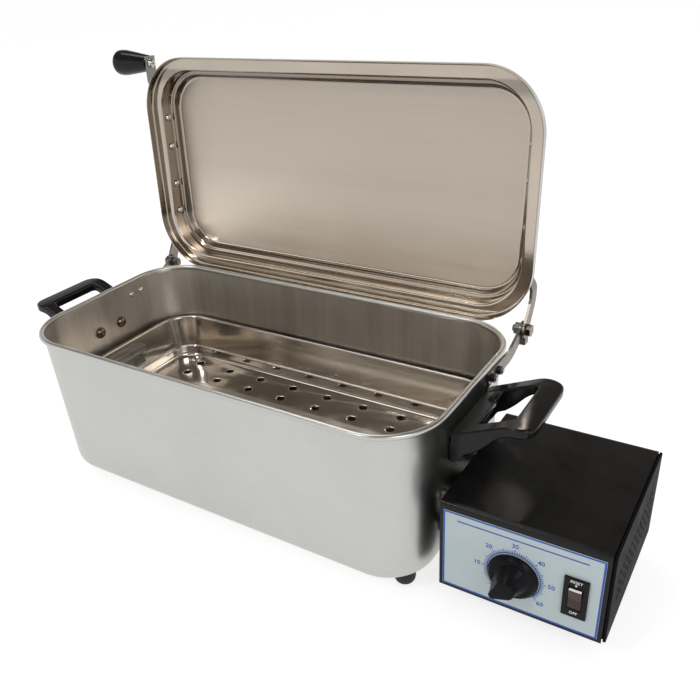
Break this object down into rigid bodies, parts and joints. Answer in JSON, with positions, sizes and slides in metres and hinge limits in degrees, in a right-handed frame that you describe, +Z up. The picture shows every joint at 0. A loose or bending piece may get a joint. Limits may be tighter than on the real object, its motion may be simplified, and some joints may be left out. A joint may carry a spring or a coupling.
{
  "type": "boiling instrument sterilizer",
  "caption": "Benchtop boiling-water instrument sterilizer with open hinged lid, lift-out perforated tray, side handles and a black control box with timer and switch",
  "frame": {"origin": "middle of the bounding box on the bench, under the feet, with the lid open", "axes": "+X runs along the tank towards the control box, -Y is the front with the label, +Y is the hinge side, +Z is up"},
  "size_m": [0.5974, 0.2452, 0.3767],
  "materials": {
    "steel_satin": "satin drawn stainless steel",
    "steel_lid": "satin pressed stainless steel",
    "steel_tray": "satin pressed stainless steel",
    "steel_strip": "brushed steel strip",
    "fastener": "bright plated steel",
    "bakelite": "glossy black phenolic",
    "rubber": "matte black rubber",
    "heater_sheath": "heat-tinted steel sheath",
    "brass": "turned brass",
    "black_coat": "black textured powder coat",
    "label": "satin pale blue printed plate",
    "knob": "black moulded knob",
    "switch_black": "black moulded plastic",
    "rocker_red": "dark red-brown translucent plastic",
    "pale_plastic": "ivory moulded plastic",
    "wire_sleeve": "white silicone sleeve",
    "cutout_body": "brown phenolic"
  },
  "bodies": {
    "base": {"tank_shell": "steel_satin", "rubber_feet": "rubber", "foot_studs": "fastener", "side_handle_left": "bakelite", "side_handle_right": "bakelite", "handle_screws": "fastener", "hinge_bracket_left": "steel_strip", "hinge_bracket_right": "steel_strip", "bracket_screws": "fastener", "bracket_nuts": "fastener", "hinge_bolts": "fastener", "hinge_nuts": "fastener", "heating_element": "heater_sheath", "heater_glands": "brass", "heater_nuts": "brass", "boil_dry_cutout": "cutout_body", "box_shell": "black_coat", "box_base": "black_coat", "box_side_panel": "black_coat", "panel_screws": "fastener", "box_studs": "fastener", "box_spacers": "steel_strip", "box_nuts": "fastener", "label_plate": "label", "timer_body": "pale_plastic", "timer_nut": "fastener", "switch_housing": "switch_black", "terminal_block": "pale_plastic", "mains_inlet": "switch_black", "inlet_screws": "fastener", "wiring": "wire_sleeve"},
    "lid": {"lid_shell": "steel_lid", "lid_arm_left": "steel_strip", "lid_arm_right": "steel_strip", "arm_rivets": "fastener", "grip_screw_pin": "fastener"},
    "grip": {"lid_grip": "bakelite"},
    "tray": {"tray_pan": "steel_tray", "tray_legs": "fastener", "tray_handle_left": "steel_strip", "tray_handle_right": "steel_strip"},
    "timer": {"timer_shaft": "fastener", "timer_knob": "knob"},
    "switch_rocker": {"rocker": "rocker_red"}
  },
  "joints": [
    {"name": "lid_hinge", "type": "hinge", "parent": "base", "child": "lid", "pos_m": [-0.03605, 0.08786, 0.159], "axis": [-1, 0, 0], "range_deg": [-92.5, 0]},
    {"name": "lid_grip_spin", "type": "hinge", "parent": "lid", "child": "grip", "pos_m": [-0.26786, 0.10964, 0.36425], "axis": [1, 0, 0], "continuous": true},
    {"name": "tray_lift", "type": "slide", "parent": "base", "child": "tray", "axis": [0, 0, 1], "range_m": [0, 0.155]},
    {"name": "timer_turn", "type": "hinge", "parent": "base", "child": "timer", "pos_m": [0.23095, -0.09234, 0.0565], "axis": [0, 1, 0], "range_deg": [0, 264]},
    {"name": "rocker_tilt", "type": "hinge", "parent": "base", "child": "switch_rocker", "pos_m": [0.27544, -0.09084, 0.057], "axis": [-1, 0, 0], "range_deg": [0, 16]}
  ]
}
